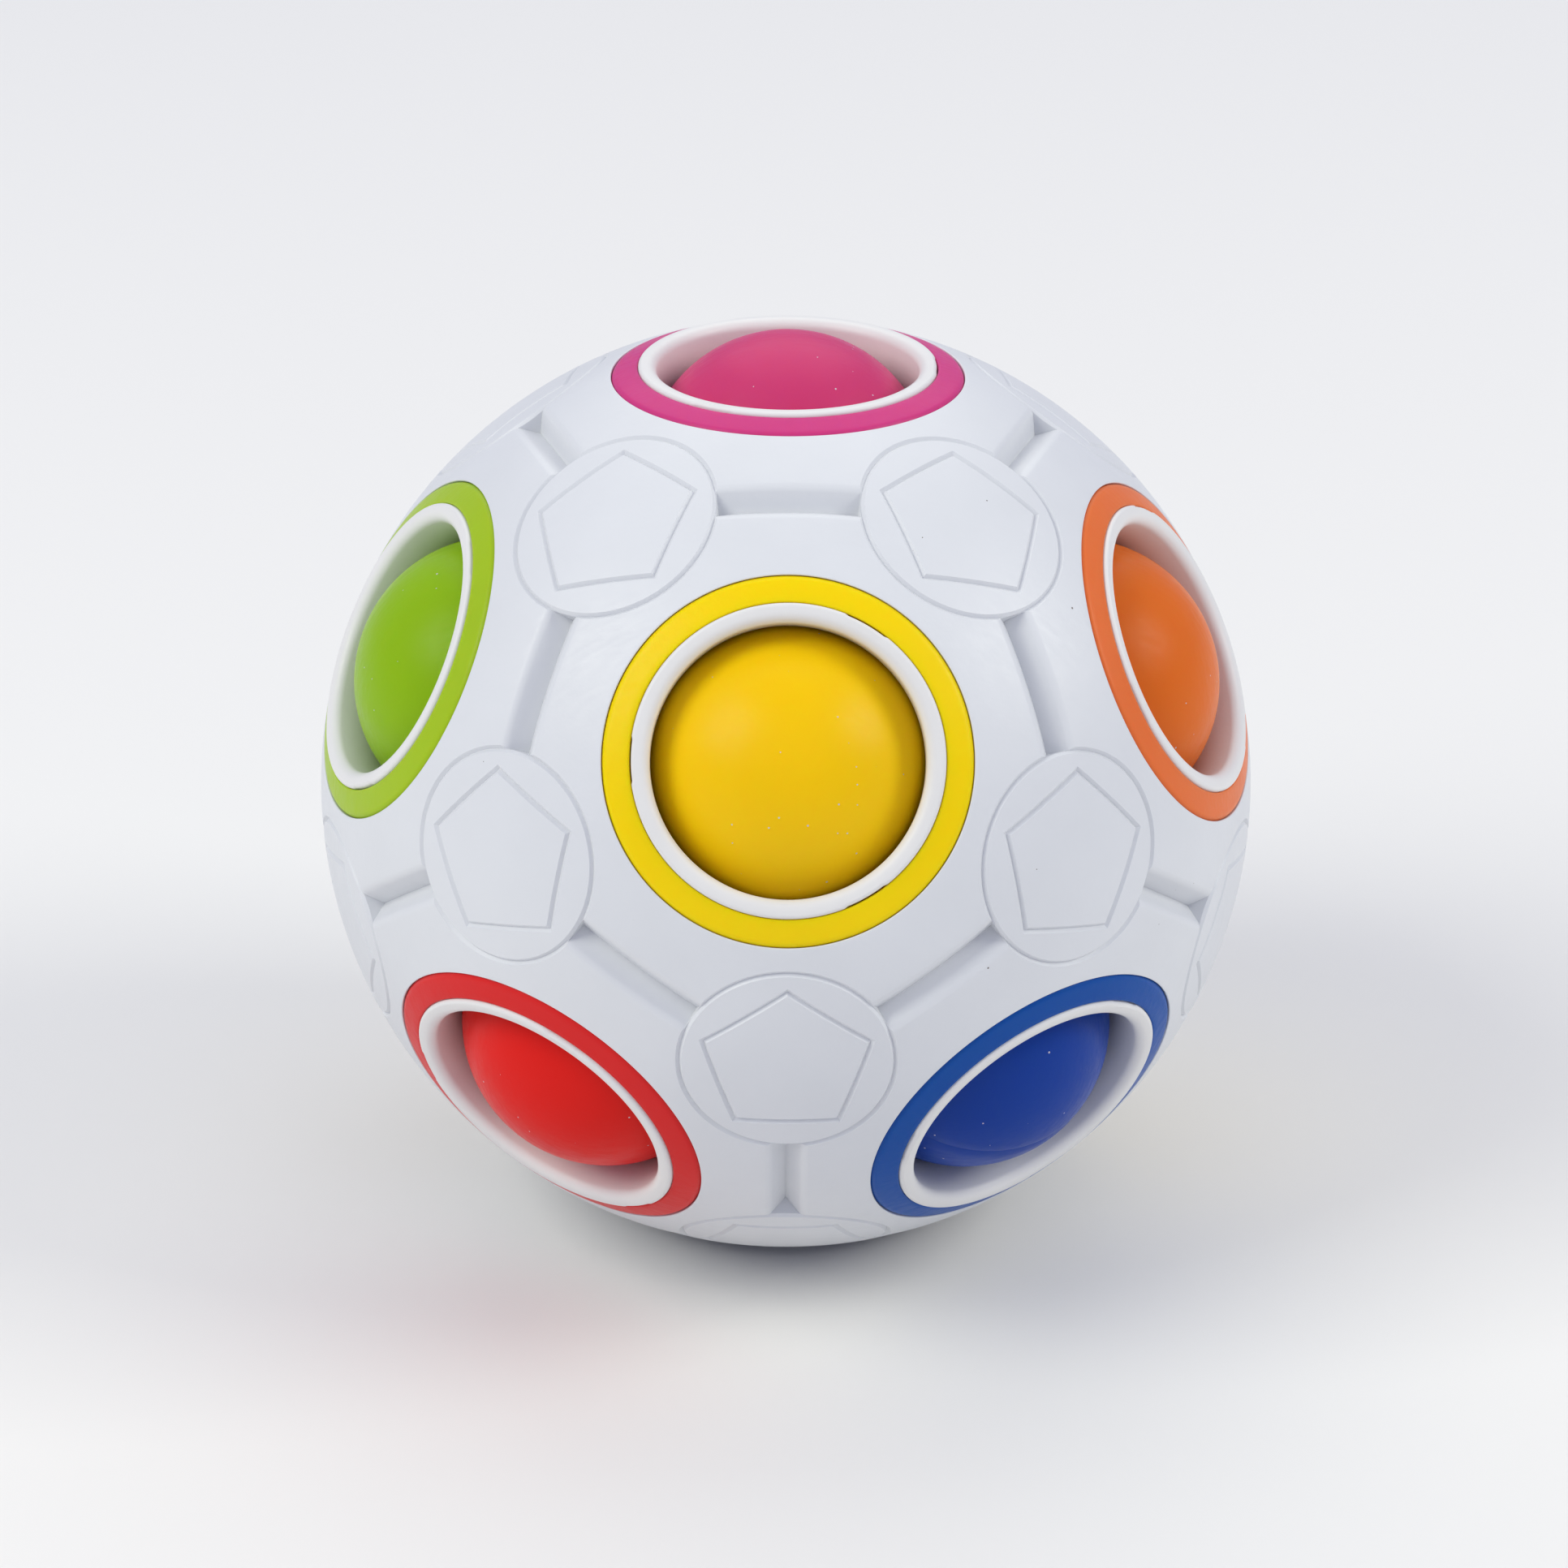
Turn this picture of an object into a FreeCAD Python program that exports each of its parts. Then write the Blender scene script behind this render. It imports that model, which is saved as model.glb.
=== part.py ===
"""Hollow twelve-hole puzzle ball: two moulded half shells, twelve coloured rings held by
white snap-in bezels, eleven loose balls and a foam core that keeps them against the bezels.

Frame: millimetres, +Z up, the front of the ball towards -Y. The ball stands on the bezel of
its one empty hole, and the origin lies on that resting plane, under the ball's centre.
"""
import FreeCAD, Part
import Sketcher
import math
import os
from FreeCAD import Placement, Rotation, Vector

doc = FreeCAD.newDocument("puzzle_ball")
sheet = doc.addObject("Spreadsheet::Sheet", "Sizes")

# Driving dimensions in millimetres: alias, value, what it is.
SIZES = (
    ("shell_diameter", 70.0, "outside of the spherical shell"),
    ("wall_thickness", 3.0, "shell wall"),
    ("ball_diameter", 21.3, "loose ball"),
    ("ball_wall", 1.4, "wall of the hollow balls"),
    ("ball_rise", 0.45, "how far a seated ball stands out of the shell's sphere"),
    ("seat_overlap", 1.08, "how much smaller in radius a bezel's bore is than its ball"),
    ("seat_clearance", 0.15, "air between a seated ball and its bezel"),
    ("lip_width", 1.35, "bezel flange, from the bore to its outer edge"),
    ("lip_height", 0.60, "height of the flange's outer edge"),
    ("lip_land", 0.24, "flat land on the bezel's crest"),
    ("lip_round", 0.62, "rounding on both sides of the crest"),
    ("barrel_wall", 0.88, "wall of the bezel's barrel"),
    ("barrel_tail", 0.70, "length of the barrel below the ball's seat"),
    ("clip_reach", 0.50, "how far a bezel's clip hooks out under the shell"),
    ("clip_angle", 18.0, "width of a clip, in degrees"),
    ("ring_width", 1.91, "coloured band from the bezel's flange to the ring's outer wall"),
    ("ring_depth", 1.0, "height of the ring's outer wall"),
    ("ring_round", 0.50, "rounded outer edge of the ring"),
    ("ring_inner_round", 0.25, "rounded inner edge of the ring"),
    ("fit_gap", 0.06, "clearance between the ring, the bezel and the shell"),
    ("hole_round", 0.36, "rounded edge of the shell's holes"),
    ("disc_line_diameter", 15.2, "engraved circle at each three-way corner"),
    ("groove_width", 2.4, "V-groove between two corner discs, between its flanks"),
    ("groove_depth", 1.5, "V-groove, measured from the sphere"),
    ("groove_round", 0.83, "rounded shoulders of the V-groove"),
    ("line_width", 0.34, "engraved lines, at the surface"),
    ("line_depth", 0.28, "engraved lines"),
    ("pentagon_diameter", 12.4, "circle through the corners of the engraved pentagon"),
    ("seam_gap", 0.06, "gap along the round stretches of the parting line"),
    ("core_clearance", 0.30, "air between the foam core and the seated balls"),
)
for row, (alias, value, note) in enumerate(SIZES, start=1):
    sheet.set("A%d" % row, alias)
    sheet.set("B%d" % row, str(value))
    sheet.set("C%d" % row, note)
    sheet.setAlias("B%d" % row, alias)
doc.recompute()


class Size:
    """A length with its value now and the expression that ties it to the sheet."""

    def __init__(self, value, text):
        self.value = value
        self.text = text

    def joined(self, other, sign, value):
        return Size(value, "(%s %s %s)" % (self.text, sign, other.text))

    def __add__(self, other):
        other = sized(other)
        return self.joined(other, "+", self.value + other.value)

    def __sub__(self, other):
        other = sized(other)
        return self.joined(other, "-", self.value - other.value)

    def __mul__(self, other):
        other = sized(other)
        return self.joined(other, "*", self.value * other.value)

    def __truediv__(self, other):
        other = sized(other)
        return self.joined(other, "/", self.value / other.value)


def sized(number):
    """A plain number as a Size, so that the two mix in sums."""
    if isinstance(number, Size):
        return number
    return Size(float(number), repr(float(number)))


def driving(alias):
    """One driving dimension of the sheet."""
    return Size(float(sheet.get(alias)), "Sizes." + alias)


def leg(hypotenuse, other_leg):
    """The second leg of a right triangle, such as a sphere's height at a given radius."""
    square = hypotenuse * hypotenuse - other_leg * other_leg
    return Size(math.sqrt(square.value), "sqrt(%s)" % square.text)


# ---------------------------------------------------------------- sizes worked out once
# Heights are measured along a hole's axis from the centre of the shell.
sphere = driving("shell_diameter") / 2
inside = sphere - driving("wall_thickness")
ball = driving("ball_diameter") / 2
ball_height = sphere + driving("ball_rise") - ball
gap = driving("fit_gap")

bore = ball - driving("seat_overlap")
seat = ball + driving("seat_clearance")
seat_height = ball_height + leg(seat, bore)
barrel = bore + driving("barrel_wall")
barrel_end = seat_height - driving("barrel_tail")
flange = bore + driving("lip_width")
crest = (bore + flange) / 2
crest_height = leg(sphere, crest)
flange_floor = leg(sphere, flange) - driving("lip_round") / 2 - driving("lip_height")

ring_bore = barrel + gap
ring_inner = flange + gap
ring_outer = ring_inner + driving("ring_width")
hole = ring_outer + gap
ring_edge_height = leg(sphere, ring_outer) - driving("ring_round")
ring_floor = ring_edge_height - driving("ring_depth")
shell_hole = barrel + gap
clip_root = barrel - driving("barrel_wall") / 4
clip_tip = barrel + driving("clip_reach")
clip_height = leg(inside, clip_tip) - gap
seat_flare = driving("barrel_wall") * 0.55  # the bezel's bore opens by this towards the ball

disc_line = driving("disc_line_diameter") / 2
disc_angle = math.degrees(math.asin(disc_line.value / sphere.value))
core = ball_height - ball - driving("core_clearance")
beyond = sphere * 1.2  # a height clear above the shell
below = ring_floor - driving("wall_thickness") * 2  # a height clear inside it


# ---------------------------------------------------------------- where things lie
# The twelve holes are the corners of an icosahedron. One hole looks up, one down, and five
# look out at each of the two latitudes of 26.565 degrees, where the tangent is one half.
LATITUDE = math.degrees(math.atan(0.5))
UP = Vector(0, 0, 1)
centre = Vector(0, 0, crest_height.value)


def direction(azimuth, elevation):
    """Unit vector at an azimuth, from the front (-Y) round towards +X, and an elevation."""
    turn = math.radians(azimuth)
    rise = math.radians(elevation)
    flat = math.cos(rise)
    return Vector(math.sin(turn) * flat, -math.cos(turn) * flat, math.sin(rise))


HOLES = {
    "pink": direction(0, 90),
    "yellow": direction(0, LATITUDE),
    "orange": direction(72, LATITUDE),
    "violet": direction(144, LATITUDE),
    "turquoise": direction(-144, LATITUDE),
    "green": direction(-72, LATITUDE),
    "blue": direction(36, -LATITUDE),
    "cream": direction(108, -LATITUDE),
    "sky": direction(180, -LATITUDE),
    "brown": direction(-108, -LATITUDE),
    "red": direction(-36, -LATITUDE),
    "grey": direction(0, -90),
}
EMPTY = "grey"
FRONT_POLE = HOLES["yellow"]
NEIGHBOUR_COSINE = 0.4  # two holes are neighbours where their cosine is above this
BELT_COSINE = 0.5  # a disc lies on the parting line where its cosine to the front pole is less
SLACK = 0.1  # what lies on the parting plane itself has a cosine of zero, give or take this
ASLANT = Vector(1, 2, 3)  # a direction that no hole and no disc looks along


def unit(vector):
    """A copy of a vector with length 1."""
    copy = Vector(vector)
    copy.normalize()
    return copy


def neighbours(first, second):
    return first is not second and first.dot(second) > NEIGHBOUR_COSINE


axes = list(HOLES.values())
# Three neighbouring holes enclose a corner disc; two of them flank a groove.
discs = [unit(one + two + three)
         for number, one in enumerate(axes)
         for second, two in enumerate(axes[number + 1:], start=number + 1)
         for three in axes[second + 1:]
         if neighbours(one, two) and neighbours(two, three) and neighbours(one, three)]
edges = [(one, two)
         for number, one in enumerate(axes)
         for two in axes[number + 1:]
         if neighbours(one, two)]


def aim(axis, side):
    """The turn that carries local Z onto axis and local X towards side."""
    across = side - axis * side.dot(axis)
    return Rotation(across, Vector(), axis, "ZXY")


def on_axis(axis, side=None):
    """A placement about the shell's centre, with local Z along axis."""
    if side is None:
        side = UP if abs(axis.dot(UP)) < 1 - SLACK else FRONT_POLE
    return Placement(centre, aim(axis, side))


# ---------------------------------------------------------------- sketched bodies
def origin_plane(body, role):
    """One of a body's own origin planes."""
    return [item for item in body.Origin.OriginFeatures if item.Role == role][0]


def bulged(start, end, radius, side):
    """An arc of a given radius from start to end; side is 1 or -1, left or right of the run."""
    middle = (start + end) * 0.5
    run = end - start
    lift = math.sqrt(max(radius * radius - run.Length * run.Length / 4, 0.0))
    across = unit(Vector(-run.y, run.x, 0))
    hub = middle + across * (lift * side)
    first = math.atan2(start.y - hub.y, start.x - hub.x)
    last = math.atan2(end.y - hub.y, end.x - hub.x)
    circle = Part.Circle(hub, Vector(0, 0, 1), radius)
    if side > 0:
        return Part.ArcOfCircle(circle, first, last)
    return Part.ArcOfCircle(circle, last, first)


def profile(body, name, outline):
    """A closed sketch on the body's XZ plane, fully tied to the sheet.

    Each entry is (radius, height) for a corner reached by a line, or (radius, height, r, side)
    for one reached by an arc of radius r whose centre is left (1) or right (-1) of the way there.
    """
    sketch = body.newObject("Sketcher::SketchObject", name)
    sketch.AttachmentSupport = (origin_plane(body, "XZ_Plane"), [""])
    sketch.MapMode = "FlatFace"
    corners = [(sized(step[0]), sized(step[1])) for step in outline]
    points = [Vector(across.value, height.value, 0) for across, height in corners]
    ends = []
    for number, step in enumerate(outline):
        before = points[number - 1]
        here = points[number]
        if len(step) == 4:
            radius = sized(step[2])
            curve = sketch.addGeometry(bulged(before, here, radius.value, step[3]), False)
            ends.append((curve, 1, 2) if step[3] > 0 else (curve, 2, 1))
            rule = sketch.addConstraint(Sketcher.Constraint("Radius", curve, radius.value))
            sketch.setExpression("Constraints[%d]" % rule, radius.text)
        else:
            curve = sketch.addGeometry(Part.LineSegment(before, here), False)
            ends.append((curve, 1, 2))
    for number, (curve, _, end) in enumerate(ends):
        following, start, _ = ends[(number + 1) % len(ends)]
        sketch.addConstraint(Sketcher.Constraint("Coincident", curve, end, following, start))
        for kind, size in zip(("DistanceX", "DistanceY"), corners[number]):
            rule = sketch.addConstraint(Sketcher.Constraint(kind, -1, 1, curve, end, size.value))
            sketch.setExpression("Constraints[%d]" % rule, size.text)
    return sketch


def turned(body, name, outline, angle=360.0):
    """Turn an outline about the body's Z axis, by a full turn or by a stated angle."""
    sketch = profile(body, name + "_profile", outline)
    turning = body.newObject("PartDesign::Revolution", name)
    turning.Profile = sketch
    turning.ReferenceAxis = (sketch, ["V_Axis"])
    if isinstance(angle, Size):
        turning.Angle = angle.value
        turning.setExpression("Angle", angle.text)
    else:
        turning.Angle = angle
    return turning


def new_body(label):
    body = doc.addObject("PartDesign::Body", label)
    body.Label = label
    return body


kept = []


def keep(piece, placement):
    """Place a finished sub-part and list it for writing."""
    piece.Placement = placement
    kept.append(piece)


# ---------------------------------------------------------------- shell
# A rounding on the sloping sphere takes up less height than its radius, and a rounding that
# meets the slope needs a radius a little over its run.
EDGE_EASE = 0.8
CROWN_EASE = 1.15


def hole_cutter():
    """Stepped hole: the bezel's barrel passes through, the ring sits in the counterbore."""
    edge = hole + driving("hole_round")
    body = new_body("hole_cutter")
    turned(body, "hole_cut", [
        (0, below),
        (shell_hole, below),
        (shell_hole, ring_floor - gap),
        (hole, ring_floor - gap),
        (hole, leg(sphere, edge) - driving("hole_round") * EDGE_EASE),
        (edge, leg(sphere, edge), driving("hole_round"), -1),
        (edge, beyond),
        (0, beyond),
    ])
    return body


def groove_cutter():
    """V-groove with rounded shoulders, turned about Z and starting on the X axis."""
    half = driving("groove_width") / 2
    depth = driving("groove_depth")
    flank = Size(math.hypot(half.value, depth.value),
                 "sqrt(%s * %s + %s * %s)" % (half.text, half.text, depth.text, depth.text))
    # The shoulder's tangent length is its radius times the tangent of half the turn.
    tangent = driving("groove_round") * (flank - half) / depth
    low = sphere - depth * tangent / flank
    near = half - half * tangent / flank
    wide = half + tangent
    skin = leg(sphere, wide)
    angle = Size(edge_turn, "%r - 2 * asin(%s / %s) / 1deg" % (
        DISC_TO_DISC, disc_line.text, sphere.text))
    body = new_body("groove_cutter")
    turned(body, "groove_cut", [
        (sphere - depth, 0),
        (low, near),
        (skin, wide, driving("groove_round"), 1),
        (beyond, wide),
        (beyond, sized(0) - wide),
        (skin, sized(0) - wide),
        (low, sized(0) - near, driving("groove_round"), 1),
    ], angle)
    return body


def line_cutter(label, angle):
    """Fine V-line along a great circle, turned about Z and starting on the X axis."""
    depth = driving("line_depth")
    body = new_body(label)
    turned(body, label + "_cut", [
        (sphere - depth, 0),
        (sphere + depth, driving("line_width")),
        (sphere + depth, sized(0) - driving("line_width")),
    ], angle)
    return body


def circle_cutter():
    """Fine V-line round a corner disc, square to the sphere."""
    depth = driving("line_depth")
    sine = disc_line / sphere
    cosine = leg(sphere, disc_line) / sphere
    wide = driving("line_width")
    body = new_body("circle_cutter")
    turned(body, "circle_cut", [
        ((sphere - depth) * sine, (sphere - depth) * cosine),
        ((sphere + depth) * sine + wide * cosine, (sphere + depth) * cosine - wide * sine),
        ((sphere + depth) * sine - wide * cosine, (sphere + depth) * cosine + wide * sine),
    ])
    return body


DISC_TO_DISC = 2 * math.degrees(math.atan(1 / ((1 + math.sqrt(5)) / 2) ** 2))
edge_turn = DISC_TO_DISC - 2 * disc_angle
pentagon_corner = math.asin(driving("pentagon_diameter").value / 2 / sphere.value)
# Angle that one side of the engraved pentagon spans, seen from the centre of the shell.
pentagon_side = 2 * math.degrees(math.asin(math.sin(pentagon_corner) * math.sin(math.pi / 5)))


def parting_region():
    """Everything on the front half's side of the parting surface.

    The surface runs zigzag round the ball through ten corner discs, along the bottoms of the
    ten grooves between them, and passes round each of those discs, which stay whole.
    """
    across = unit(UP - FRONT_POLE * UP.dot(FRONT_POLE))
    third = FRONT_POLE.cross(across)
    belt = [disc for disc in discs if abs(disc.dot(FRONT_POLE)) < BELT_COSINE]
    belt.sort(key=lambda disc: math.atan2(disc.dot(third), disc.dot(across)))
    far = sphere.value * 2
    hub = Vector(0, 0, 0)
    tip = FRONT_POLE * (far * 2)
    faces = []
    for number, disc in enumerate(belt):
        one = disc * far
        two = belt[number - 1] * far
        faces.append(Part.Face(Part.makePolygon([hub, one, two, hub])))
        faces.append(Part.Face(Part.makePolygon([tip, one, two, tip])))
    region = Part.Solid(Part.Shell(faces))
    if region.Volume < 0:
        region.reverse()
    for disc in belt:
        ahead = disc.dot(FRONT_POLE) > 0
        shift = -driving("seam_gap").value / 2 if ahead else driving("seam_gap").value / 2
        rim = far * (disc_line.value + shift) / leg(sphere, disc_line).value
        cone = Part.makeCone(0, rim, far, hub, disc)
        region = region.fuse(cone) if ahead else region.cut(cone)
    return region


def place_cutter(cutter, axis, side, turn_back=0.0):
    """A copy of a cutter's shape, aimed, and turned back about its own axis."""
    copy = cutter.Shape.copy()
    spin = Rotation(Vector(0, 0, 1), -turn_back)
    copy.Placement = Placement(Vector(0, 0, 0), aim(axis, side).multiply(spin))
    return copy


def half_shell():
    """The front half: six holes, twenty grooves, and the lines round and inside its discs."""
    cut_hole = hole_cutter()
    cut_groove = groove_cutter()
    cut_side = line_cutter("pentagon_cutter", pentagon_side)
    cut_circle = circle_cutter()
    doc.recompute()
    tools = []
    for axis in axes:
        if axis.dot(FRONT_POLE) > 0:
            tools.append(place_cutter(cut_hole, axis, ASLANT))
    for one, two in edges:
        middle = unit(one + two)
        if middle.dot(FRONT_POLE) > -SLACK:
            tools.append(place_cutter(cut_groove, unit(one - two), middle, edge_turn / 2))
    for disc in discs:
        height = disc.dot(FRONT_POLE)
        if height > -BELT_COSINE:
            tools.append(place_cutter(cut_circle, disc, ASLANT))
        if height > 0:
            # A corner of the pentagon points at the pole from the inner discs and away from
            # it on the outer discs.
            lean = FRONT_POLE if height > BELT_COSINE else FRONT_POLE * -1
            corner = unit(lean - disc * lean.dot(disc))
            for number in range(5):
                spin = Rotation(disc, 72 * number)
                inwards = spin.multVec(corner) * -1
                # The side opposite a corner lies in a plane tipped away from the disc's axis.
                tilt = math.atan(math.tan(pentagon_corner) * math.cos(math.pi / 5))
                middle = unit(disc * math.cos(tilt) + inwards * math.sin(tilt))
                tools.append(place_cutter(cut_side, middle.cross(unit(disc.cross(inwards))),
                                          middle, pentagon_side / 2))
    outer = Part.makeSphere(sphere.value)
    hollow = outer.cut(Part.makeSphere(inside.value))
    return hollow.common(parting_region()).cut(tools)


half = half_shell()
front = doc.addObject("Part::Feature", "shell_front")
front.Label = "shell_front"
front.Shape = half
keep(front, Placement(centre, Rotation()))
# Both halves come from one mould. Half a turn about X carries the front hole onto the rear one.
rear = doc.addObject("Part::Feature", "shell_rear")
rear.Label = "shell_rear"
rear.Shape = half.copy()
keep(rear, Placement(centre, Rotation(Vector(1, 0, 0), 180)))


# ---------------------------------------------------------------- rings and bezels
def ring(label):
    """Coloured ring: its crown follows the shell's sphere, and its step lies under the bezel."""
    round_out = driving("ring_round")
    round_in = driving("ring_inner_round")
    step = flange_floor - gap
    body = new_body(label)
    turned(body, label + "_turning", [
        (ring_bore, ring_floor),
        (ring_outer, ring_floor),
        (ring_outer, ring_edge_height),
        (ring_outer - round_out, leg(sphere, ring_outer - round_out), round_out * CROWN_EASE, 1),
        (ring_inner + round_in, leg(sphere, ring_inner + round_in), sphere, 1),
        (ring_inner, leg(sphere, ring_inner) - round_in, round_in, 1),
        (ring_inner, step),
        (ring_bore, step),
    ])
    return body


def bezel(label):
    """White bezel: rounded lip, barrel, flared seat for the ball, and three clips."""
    lip = driving("lip_round")
    land = driving("lip_land") / 2
    shoulder = leg(sphere, flange) - lip / 2
    body = new_body(label)
    turned(body, label + "_turning", [
        (bore, seat_height),
        (bore + seat_flare, barrel_end),
        (barrel, barrel_end),
        (barrel, flange_floor),
        (flange, flange_floor),
        (flange, shoulder),
        (crest + land, crest_height, lip, 1),
        (crest - land, crest_height),
        (bore, crest_height - lip, lip, 1),
    ])
    clip = turned(body, label + "_clip", [
        (clip_root, barrel_end),
        (barrel, barrel_end),
        (clip_tip, clip_height - driving("clip_reach") / 2),
        (clip_tip, clip_height),
        (clip_root, clip_height),
    ], driving("clip_angle"))
    pattern = body.newObject("PartDesign::PolarPattern", label + "_clips")
    pattern.Originals = [clip]
    pattern.Axis = (clip.Profile[0], ["V_Axis"])
    pattern.Angle = 360
    pattern.Occurrences = 3
    body.Tip = pattern
    return body


# The three clips are centred 30, 150 and 270 degrees clockwise of the hole's topmost point.
clip_turn = Placement(Vector(0, 0, 0), Rotation(UP, -30 - driving("clip_angle").value / 2))
for colour, axis in HOLES.items():
    keep(ring("ring_" + colour), on_axis(axis))
    keep(bezel("bezel_" + colour), on_axis(axis).multiply(clip_turn))


# ---------------------------------------------------------------- balls and core
def hollow_half(label, radius, wall, notch):
    """Half of a hollow ball, its weld face on the XY plane with a fine chamfer outside."""
    hollow = radius - wall
    body = new_body(label)
    turned(body, label + "_turning", [
        (hollow, 0, hollow, -1),
        (radius - notch, 0),
        (leg(radius, sized(notch)), notch),
        (0, radius, radius, 1),
        (0, hollow),
    ])
    return body


BALL_NOTCH = 0.10  # chamfer that shows as the weld line
# Where the weld circle faces: along the hole's axis, so the line hides under the bezel,
# except on the blue ball, which has rolled until its line shows.
weld_axis = dict(HOLES)
weld_axis["blue"] = direction(32, 51)
for colour, axis in HOLES.items():
    if colour == EMPTY:
        continue
    middle = centre + axis * ball_height.value
    for name, side in (("outer", 1), ("inner", -1)):
        pole = weld_axis[colour] * side
        turn = aim(pole, ASLANT)
        keep(hollow_half("ball_%s_%s" % (colour, name), ball, driving("ball_wall"), BALL_NOTCH),
             Placement(middle, turn))

foam = new_body("core_ball")
turned(foam, "core_turning", [
    (0, sized(0) - core),
    (core, 0, core, 1),
    (0, core, core, 1),
])
keep(foam, on_axis(UP))

# ---------------------------------------------------------------- check and write
doc.recompute()
for item in doc.Objects:
    state = [word for word in item.State if word in ("Invalid", "Error")]
    if state:
        raise RuntimeError("%s is %s" % (item.Label, state))
os.makedirs("parts", exist_ok=True)
for piece in kept:
    if piece.Shape.isNull() or not piece.Shape.isValid():
        raise RuntimeError("%s has no valid shape" % piece.Label)
    if len(piece.Shape.Solids) != 1:
        raise RuntimeError("%s has %d solids" % (piece.Label, len(piece.Shape.Solids)))
    piece.Shape.exportStep("parts/%s.step" % piece.Label)
print("%d sub-parts, centre of the shell at height %.3f" % (len(kept), centre.z))
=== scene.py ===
"""Looks of a hollow puzzle ball with coloured rings and loose balls, as a Blender add-on.

Every size is in metres. The ball's centre lies on the Z axis, and its front faces -Y.
"""
import math

import bpy
from bpy.props import FloatProperty, PointerProperty, StringProperty
from mathutils import Matrix, Vector, noise


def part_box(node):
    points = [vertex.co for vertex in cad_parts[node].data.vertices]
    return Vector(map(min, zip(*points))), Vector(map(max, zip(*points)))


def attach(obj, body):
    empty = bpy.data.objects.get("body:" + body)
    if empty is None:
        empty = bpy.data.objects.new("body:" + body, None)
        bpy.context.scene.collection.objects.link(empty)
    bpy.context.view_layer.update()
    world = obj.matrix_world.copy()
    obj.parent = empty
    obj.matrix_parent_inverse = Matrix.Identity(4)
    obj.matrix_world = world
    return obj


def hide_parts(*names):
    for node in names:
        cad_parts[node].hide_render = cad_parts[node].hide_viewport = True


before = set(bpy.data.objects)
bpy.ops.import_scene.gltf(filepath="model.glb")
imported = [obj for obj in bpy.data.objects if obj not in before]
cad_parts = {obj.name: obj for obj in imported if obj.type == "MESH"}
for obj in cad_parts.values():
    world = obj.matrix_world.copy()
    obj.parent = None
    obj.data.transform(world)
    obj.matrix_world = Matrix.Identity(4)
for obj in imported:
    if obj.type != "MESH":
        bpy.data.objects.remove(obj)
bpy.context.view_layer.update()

bl_info = {
    "name": "Puzzle ball with loose balls",
    "version": (1, 0, 0),
    "blender": (4, 5, 0),
    "location": "View3D > Sidebar > Puzzle ball",
    "description": "Models the shell, rings, bezels and loose balls of a round hand puzzle",
    "category": "Add Mesh",
}

MM = 0.001
CORE_LOW, CORE_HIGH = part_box("core_ball")
CORE_RADIUS = (CORE_HIGH[0] - CORE_LOW[0]) / 2
SCENE_CENTRE = Vector((0.0, 0.0, (CORE_HIGH[2] + CORE_LOW[2]) / 2))
LATITUDE = math.degrees(math.atan(0.5))


# ------------------------------------------------------------------ settings of the user
def size(name, description, millimetres):
    """A length property whose default is given in millimetres."""
    return FloatProperty(name=name, description=description, default=millimetres * MM,
                         unit="LENGTH", precision=5)


def colour(name, description, code):
    """A colour property that holds an sRGB hex value."""
    return StringProperty(name=name, description=description, default=code)


class PuzzleShellSizes(bpy.types.PropertyGroup):
    """Sizes of the two half shells."""
    radius: size("Radius", "Outside of the shell", 35.0)
    wall: size("Wall", "Wall thickness", 3.0)
    groove_width: size("Groove width", "V-groove between two corner discs", 2.4)
    groove_depth: size("Groove depth", "V-groove below the sphere", 1.5)
    groove_round: size("Groove rounding", "Tangent length of the groove's soft shoulders", 0.40)
    disc_radius: size("Disc radius", "Engraved circle round a corner disc", 7.6)
    pentagon_radius: size("Pentagon radius", "Corner of the pentagon inside a disc", 6.2)
    line_width: size("Line width", "Engraved lines at the surface", 0.46)
    line_depth: size("Line depth", "Engraved lines", 0.24)
    seam: size("Seam", "Gap between the halves round the discs they share", 0.06)


class PuzzleHoleSizes(bpy.types.PropertyGroup):
    """Sizes of the rings and bezels, as radii about a hole's axis."""
    bore: size("Bore", "Bore of the white bezel", 9.57)
    flange: size("Flange", "Outer edge of the bezel's lip", 10.92)
    barrel: size("Barrel", "Outside of the bezel's barrel", 10.45)
    seat: size("Seat", "Height of the ball's seat above the ball's middle", 5.0056)
    tail: size("Tail", "Length of the barrel below the seat", 0.70)
    lip_round: size("Lip rounding", "Rounding of the bezel's lip towards the bore", 0.72)
    lip_edge: size("Lip edge", "Rounding of the bezel's lip towards the ring", 0.28)
    lip_height: size("Lip height", "Height of the lip's outer edge", 0.60)
    lip_drop: size("Lip drop", "From the shell's sphere down to the top of that edge", 0.31)
    flare: size("Flare", "How much wider the bore is at its lower end, in radius", 0.48)
    ring: size("Ring", "Outer wall of the coloured ring", 12.89)
    ring_depth: size("Ring depth", "Height of the ring's outer wall", 1.0)
    ring_round: size("Ring rounding", "Rounded outer edge of the ring", 0.40)
    gap: size("Gap", "Clearance between ring, bezel and shell", 0.02)
    hole_round: size("Hole rounding", "Rounded edge of the shell's hole", 0.15)


class PuzzleBallSizes(bpy.types.PropertyGroup):
    """Sizes of the loose balls."""
    radius: size("Radius", "Outside of a loose ball", 10.65)
    wall: size("Wall", "Wall of the hollow ball", 1.4)
    height: size("Seat height", "From the shell's centre to a seated ball's centre", 24.8)
    weld: size("Weld", "Chamfer that shows as the weld line", 0.10)


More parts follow.
